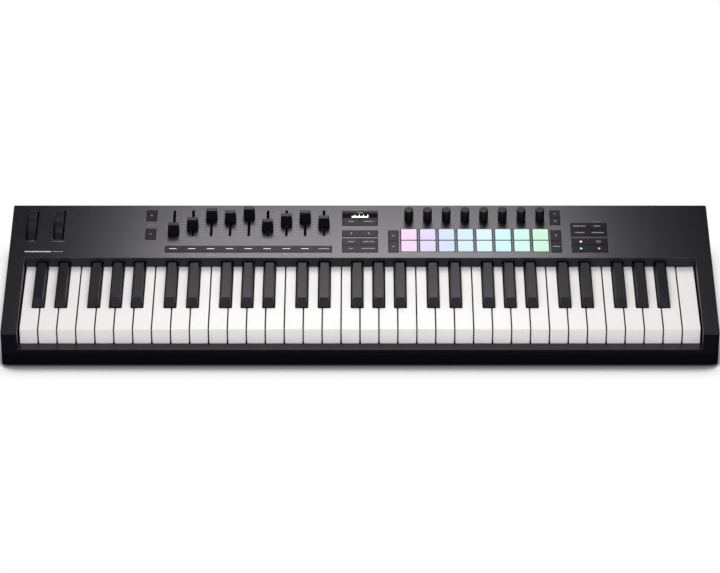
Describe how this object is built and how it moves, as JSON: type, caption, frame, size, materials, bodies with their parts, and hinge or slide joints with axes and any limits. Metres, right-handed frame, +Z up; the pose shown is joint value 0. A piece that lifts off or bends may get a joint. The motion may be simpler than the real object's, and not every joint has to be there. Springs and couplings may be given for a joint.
{
  "type": "synthesizer",
  "caption": "Slim keyboard synthesizer controller with piano keys, pitch and modulation wheels, faders, knobs, backlit pads and a small display on a sloped charcoal panel.",
  "frame": {"origin": "on the resting surface, under the middle of the case's width and depth", "axes": "+X to the player's right, +Y away from the player, +Z up"},
  "size_m": [0.892, 0.2582, 0.0842],
  "materials": {
    "cover_charcoal": "fine satin texture",
    "case_black": "fine matte texture",
    "key_white": "smooth satin gloss",
    "key_black": "satin",
    "wheel_rubber": "soft-touch matte",
    "fader_black": "soft-touch matte",
    "encoder_black": "ribbed soft-touch",
    "pad_silicone": "translucent backlit silicone",
    "button_dark": "matte silicone",
    "display_glass": "polished black window",
    "circuit_board": "green solder mask",
    "socket_black": "moulded",
    "socket_metal": "nickel plate",
    "foot_rubber": "matte",
    "screw_steel": "black zinc",
    "print_grey": "screen print",
    "light_white": "lit light window",
    "light_green": "lit light window",
    "light_red": "lit light window",
    "pad_pink": "translucent backlit silicone",
    "pad_lilac": "translucent backlit silicone",
    "pad_pale_blue": "translucent backlit silicone",
    "pad_pale_cyan": "translucent backlit silicone",
    "pad_light_blue": "translucent backlit silicone",
    "pad_ice": "translucent backlit silicone",
    "pad_aqua": "translucent backlit silicone",
    "pad_mint": "translucent backlit silicone",
    "pad_green": "translucent backlit silicone"
  },
  "bodies": {
    "case": {"top_cover": "cover_charcoal", "bottom_case": "case_black", "keybed_chassis": "case_black", "key_contact_board": "circuit_board", "wheel_bracket": "case_black", "control_board": "circuit_board", "display_screen": "display_glass", "rear_socket_board": "socket_black", "foot_front_left": "foot_rubber", "foot_front_right": "foot_rubber", "foot_rear_left": "foot_rubber", "foot_rear_right": "foot_rubber"},
    "white_keys_ceg_b_1": {"white_keys_ceg_b_1": "key_white"},
    "white_keys_d_f_a_1": {"white_keys_d_f_a_1": "key_white"},
    "black_keys_1": {"black_keys_1": "key_black"},
    "white_keys_ceg_b_2": {"white_keys_ceg_b_2": "key_white"},
    "white_keys_d_f_a_2": {"white_keys_d_f_a_2": "key_white"},
    "black_keys_2": {"black_keys_2": "key_black"},
    "white_keys_ceg_b_3": {"white_keys_ceg_b_3": "key_white"},
    "white_keys_d_f_a_3": {"white_keys_d_f_a_3": "key_white"},
    "black_keys_3": {"black_keys_3": "key_black"},
    "white_keys_ceg_b_4": {"white_keys_ceg_b_4": "key_white"},
    "white_keys_d_f_a_4": {"white_keys_d_f_a_4": "key_white"},
    "black_keys_4": {"black_keys_4": "key_black"},
    "white_keys_ceg_b_5": {"white_keys_ceg_b_5": "key_white"},
    "white_keys_d_f_a_5": {"white_keys_d_f_a_5": "key_white"},
    "black_keys_5": {"black_keys_5": "key_black"},
    "white_key_top_c": {"white_key_top_c": "key_white"},
    "pitch_wheel": {"pitch_wheel": "wheel_rubber"},
    "mod_wheel": {"mod_wheel": "wheel_rubber"},
    "fader_1": {"fader_1": "fader_black"},
    "fader_2": {"fader_2": "fader_black"},
    "fader_3": {"fader_3": "fader_black"},
    "fader_4": {"fader_4": "fader_black"},
    "fader_5": {"fader_5": "fader_black"},
    "fader_6": {"fader_6": "fader_black"},
    "fader_7": {"fader_7": "fader_black"},
    "fader_8": {"fader_8": "fader_black"},
    "fader_9": {"fader_9": "fader_black"},
    "encoder_1": {"encoder_1": "encoder_black"},
    "encoder_2": {"encoder_2": "encoder_black"},
    "encoder_3": {"encoder_3": "encoder_black"},
    "encoder_4": {"encoder_4": "encoder_black"},
    "encoder_5": {"encoder_5": "encoder_black"},
    "encoder_6": {"encoder_6": "encoder_black"},
    "encoder_7": {"encoder_7": "encoder_black"},
    "encoder_8": {"encoder_8": "encoder_black"},
    "pad_row_lower": {"pad_row_lower": "pad_silicone"},
    "pad_row_upper": {"pad_row_upper": "pad_silicone"},
    "octave_up_button": {"octave_up_button": "button_dark"},
    "octave_down_button": {"octave_down_button": "button_dark"},
    "fader_button_strip": {"fader_button_strip": "button_dark"},
    "display_buttons": {"display_buttons": "button_dark"},
    "track_buttons": {"track_buttons": "button_dark"},
    "mode_buttons": {"mode_buttons": "button_dark"},
    "pad_page_buttons": {"pad_page_buttons": "button_dark"},
    "encoder_page_buttons": {"encoder_page_buttons": "button_dark"},
    "scene_buttons": {"scene_buttons": "button_dark"},
    "transport_upper_buttons": {"transport_upper_buttons": "button_dark"},
    "transport_lower_buttons": {"transport_lower_buttons": "button_dark"}
  },
  "joints": [
    {"name": "white_keys_ceg_b_1_press", "type": "hinge", "parent": "case", "child": "white_keys_ceg_b_1", "pos_m": [-0.34179, 0.043, 0.0345], "axis": [1, 0, 0], "range_deg": [0, 3.6], "stiffness_Nm_per_rad": 2, "springref_deg": -8.59},
    {"name": "white_keys_d_f_a_1_press", "type": "hinge", "parent": "case", "child": "white_keys_d_f_a_1", "pos_m": [-0.34179, 0.043, 0.0505], "axis": [1, 0, 0], "range_deg": [0, 3.6], "stiffness_Nm_per_rad": 2, "springref_deg": -8.59},
    {"name": "black_keys_1_press", "type": "hinge", "parent": "case", "child": "black_keys_1", "pos_m": [-0.34179, 0.0305, 0.0505], "axis": [1, 0, 0], "range_deg": [0, 4.2], "stiffness_Nm_per_rad": 2, "springref_deg": -8.59},
    {"name": "white_keys_ceg_b_2_press", "type": "hinge", "parent": "case", "child": "white_keys_ceg_b_2", "pos_m": [-0.17679, 0.043, 0.0345], "axis": [1, 0, 0], "range_deg": [0, 3.6], "stiffness_Nm_per_rad": 2, "springref_deg": -8.59},
    {"name": "white_keys_d_f_a_2_press", "type": "hinge", "parent": "case", "child": "white_keys_d_f_a_2", "pos_m": [-0.17679, 0.043, 0.0505], "axis": [1, 0, 0], "range_deg": [0, 3.6], "stiffness_Nm_per_rad": 2, "springref_deg": -8.59},
    {"name": "black_keys_2_press", "type": "hinge", "parent": "case", "child": "black_keys_2", "pos_m": [-0.17679, 0.0305, 0.0505], "axis": [1, 0, 0], "range_deg": [0, 4.2], "stiffness_Nm_per_rad": 2, "springref_deg": -8.59},
    {"name": "white_keys_ceg_b_3_press", "type": "hinge", "parent": "case", "child": "white_keys_ceg_b_3", "pos_m": [-0.01179, 0.043, 0.0345], "axis": [1, 0, 0], "range_deg": [0, 3.6], "stiffness_Nm_per_rad": 2, "springref_deg": -8.59},
    {"name": "white_keys_d_f_a_3_press", "type": "hinge", "parent": "case", "child": "white_keys_d_f_a_3", "pos_m": [-0.01179, 0.043, 0.0505], "axis": [1, 0, 0], "range_deg": [0, 3.6], "stiffness_Nm_per_rad": 2, "springref_deg": -8.59},
    {"name": "black_keys_3_press", "type": "hinge", "parent": "case", "child": "black_keys_3", "pos_m": [-0.01179, 0.0305, 0.0505], "axis": [1, 0, 0], "range_deg": [0, 4.2], "stiffness_Nm_per_rad": 2, "springref_deg": -8.59},
    {"name": "white_keys_ceg_b_4_press", "type": "hinge", "parent": "case", "child": "white_keys_ceg_b_4", "pos_m": [0.15321, 0.043, 0.0345], "axis": [1, 0, 0], "range_deg": [0, 3.6], "stiffness_Nm_per_rad": 2, "springref_deg": -8.59},
    {"name": "white_keys_d_f_a_4_press", "type": "hinge", "parent": "case", "child": "white_keys_d_f_a_4", "pos_m": [0.15321, 0.043, 0.0505], "axis": [1, 0, 0], "range_deg": [0, 3.6], "stiffness_Nm_per_rad": 2, "springref_deg": -8.59},
    {"name": "black_keys_4_press", "type": "hinge", "parent": "case", "child": "black_keys_4", "pos_m": [0.15321, 0.0305, 0.0505], "axis": [1, 0, 0], "range_deg": [0, 4.2], "stiffness_Nm_per_rad": 2, "springref_deg": -8.59},
    {"name": "white_keys_ceg_b_5_press", "type": "hinge", "parent": "case", "child": "white_keys_ceg_b_5", "pos_m": [0.31821, 0.043, 0.0345], "axis": [1, 0, 0], "range_deg": [0, 3.6], "stiffness_Nm_per_rad": 2, "springref_deg": -8.59},
    {"name": "white_keys_d_f_a_5_press", "type": "hinge", "parent": "case", "child": "white_keys_d_f_a_5", "pos_m": [0.31821, 0.043, 0.0505], "axis": [1, 0, 0], "range_deg": [0, 3.6], "stiffness_Nm_per_rad": 2, "springref_deg": -8.59},
    {"name": "black_keys_5_press", "type": "hinge", "parent": "case", "child": "black_keys_5", "pos_m": [0.31821, 0.0305, 0.0505], "axis": [1, 0, 0], "range_deg": [0, 4.2], "stiffness_Nm_per_rad": 2, "springref_deg": -8.59},
    {"name": "white_key_top_c_press", "type": "hinge", "parent": "case", "child": "white_key_top_c", "pos_m": [0.4125, 0.043, 0.0345], "axis": [1, 0, 0], "range_deg": [0, 3.6], "stiffness_Nm_per_rad": 0.5, "springref_deg": -8.59},
    {"name": "pitch_wheel_turn", "type": "hinge", "parent": "case", "child": "pitch_wheel", "pos_m": [-0.4193, 0.08912, 0.04655], "axis": [-1, 0, 0], "range_deg": [-40, 40], "stiffness_Nm_per_rad": 0.03},
    {"name": "mod_wheel_turn", "type": "hinge", "parent": "case", "child": "mod_wheel", "pos_m": [-0.385, 0.08912, 0.04655], "axis": [-1, 0, 0], "range_deg": [0, 56]},
    {"name": "fader_1_slide", "type": "slide", "parent": "case", "child": "fader_1", "axis": [0, 0.9972, 0.0745], "range_m": [-0.0036, 0.0414]},
    {"name": "fader_2_slide", "type": "slide", "parent": "case", "child": "fader_2", "axis": [0, 0.9972, 0.0745], "range_m": [-0.01395, 0.03105]},
    {"name": "fader_3_slide", "type": "slide", "parent": "case", "child": "fader_3", "axis": [0, 0.9972, 0.0745], "range_m": [-0.03285, 0.01215]},
    {"name": "fader_4_slide", "type": "slide", "parent": "case", "child": "fader_4", "axis": [0, 0.9972, 0.0745], "range_m": [-0.02835, 0.01665]},
    {"name": "fader_5_slide", "type": "slide", "parent": "case", "child": "fader_5", "axis": [0, 0.9972, 0.0745], "range_m": [-0.036, 0.009]},
    {"name": "fader_6_slide", "type": "slide", "parent": "case", "child": "fader_6", "axis": [0, 0.9972, 0.0745], "range_m": [-0.0108, 0.0342]},
    {"name": "fader_7_slide", "type": "slide", "parent": "case", "child": "fader_7", "axis": [0, 0.9972, 0.0745], "range_m": [-0.02205, 0.02295]},
    {"name": "fader_8_slide", "type": "slide", "parent": "case", "child": "fader_8", "axis": [0, 0.9972, 0.0745], "range_m": [-0.02835, 0.01665]},
    {"name": "fader_9_slide", "type": "slide", "parent": "case", "child": "fader_9", "axis": [0, 0.9972, 0.0745], "range_m": [-0.01755, 0.02745]},
    {"name": "encoder_1_turn", "type": "hinge", "parent": "case", "child": "encoder_1", "pos_m": [0.0625, 0.09897, 0.07587], "axis": [0, -0.0745, 0.9972], "continuous": true},
    {"name": "encoder_2_turn", "type": "hinge", "parent": "case", "child": "encoder_2", "pos_m": [0.0865, 0.09897, 0.07587], "axis": [0, -0.0745, 0.9972], "continuous": true},
    {"name": "encoder_3_turn", "type": "hinge", "parent": "case", "child": "encoder_3", "pos_m": [0.1105, 0.09897, 0.07587], "axis": [0, -0.0745, 0.9972], "continuous": true},
    {"name": "encoder_4_turn", "type": "hinge", "parent": "case", "child": "encoder_4", "pos_m": [0.1345, 0.09897, 0.07587], "axis": [0, -0.0745, 0.9972], "continuous": true},
    {"name": "encoder_5_turn", "type": "hinge", "parent": "case", "child": "encoder_5", "pos_m": [0.1585, 0.09897, 0.07587], "axis": [0, -0.0745, 0.9972], "continuous": true},
    {"name": "encoder_6_turn", "type": "hinge", "parent": "case", "child": "encoder_6", "pos_m": [0.1825, 0.09897, 0.07587], "axis": [0, -0.0745, 0.9972], "continuous": true},
    {"name": "encoder_7_turn", "type": "hinge", "parent": "case", "child": "encoder_7", "pos_m": [0.2065, 0.09897, 0.07587], "axis": [0, -0.0745, 0.9972], "continuous": true},
    {"name": "encoder_8_turn", "type": "hinge", "parent": "case", "child": "encoder_8", "pos_m": [0.2305, 0.09897, 0.07587], "axis": [0, -0.0745, 0.9972], "continuous": true},
    {"name": "pad_row_lower_press", "type": "slide", "parent": "case", "child": "pad_row_lower", "axis": [0, 0.0745, -0.9972], "range_m": [0, 0.0008], "stiffness_N_per_m": 3000, "springref_m": -0.0004},
    {"name": "pad_row_upper_press", "type": "slide", "parent": "case", "child": "pad_row_upper", "axis": [0, 0.0745, -0.9972], "range_m": [0, 0.0008], "stiffness_N_per_m": 3000, "springref_m": -0.0004},
    {"name": "octave_up_button_press", "type": "slide", "parent": "case", "child": "octave_up_button", "axis": [0, 0.0745, -0.9972], "range_m": [0, 0.0008], "stiffness_N_per_m": 1500, "springref_m": -0.0004},
    {"name": "octave_down_button_press", "type": "slide", "parent": "case", "child": "octave_down_button", "axis": [0, 0.0745, -0.9972], "range_m": [0, 0.0008], "stiffness_N_per_m": 1500, "springref_m": -0.0004},
    {"name": "fader_button_strip_press", "type": "slide", "parent": "case", "child": "fader_button_strip", "axis": [0, 0.0745, -0.9972], "range_m": [0, 0.0008], "stiffness_N_per_m": 1500, "springref_m": -0.0004},
    {"name": "display_buttons_press", "type": "slide", "parent": "case", "child": "display_buttons", "axis": [0, 0.0745, -0.9972], "range_m": [0, 0.0008], "stiffness_N_per_m": 1500, "springref_m": -0.0004},
    {"name": "track_buttons_press", "type": "slide", "parent": "case", "child": "track_buttons", "axis": [0, 0.0745, -0.9972], "range_m": [0, 0.0008], "stiffness_N_per_m": 1500, "springref_m": -0.0004},
    {"name": "mode_buttons_press", "type": "slide", "parent": "case", "child": "mode_buttons", "axis": [0, 0.0745, -0.9972], "range_m": [0, 0.0008], "stiffness_N_per_m": 1500, "springref_m": -0.0004},
    {"name": "pad_page_buttons_press", "type": "slide", "parent": "case", "child": "pad_page_buttons", "axis": [0, 0.0745, -0.9972], "range_m": [0, 0.0008], "stiffness_N_per_m": 1500, "springref_m": -0.0004},
    {"name": "encoder_page_buttons_press", "type": "slide", "parent": "case", "child": "encoder_page_buttons", "axis": [0, 0.0745, -0.9972], "range_m": [0, 0.0008], "stiffness_N_per_m": 1500, "springref_m": -0.0004},
    {"name": "scene_buttons_press", "type": "slide", "parent": "case", "child": "scene_buttons", "axis": [0, 0.0745, -0.9972], "range_m": [0, 0.0008], "stiffness_N_per_m": 1500, "springref_m": -0.0004},
    {"name": "transport_upper_buttons_press", "type": "slide", "parent": "case", "child": "transport_upper_buttons", "axis": [0, 0.0745, -0.9972], "range_m": [0, 0.0008], "stiffness_N_per_m": 1500, "springref_m": -0.0004},
    {"name": "transport_lower_buttons_press", "type": "slide", "parent": "case", "child": "transport_lower_buttons", "axis": [0, 0.0745, -0.9972], "range_m": [0, 0.0008], "stiffness_N_per_m": 1500, "springref_m": -0.0004}
  ]
}
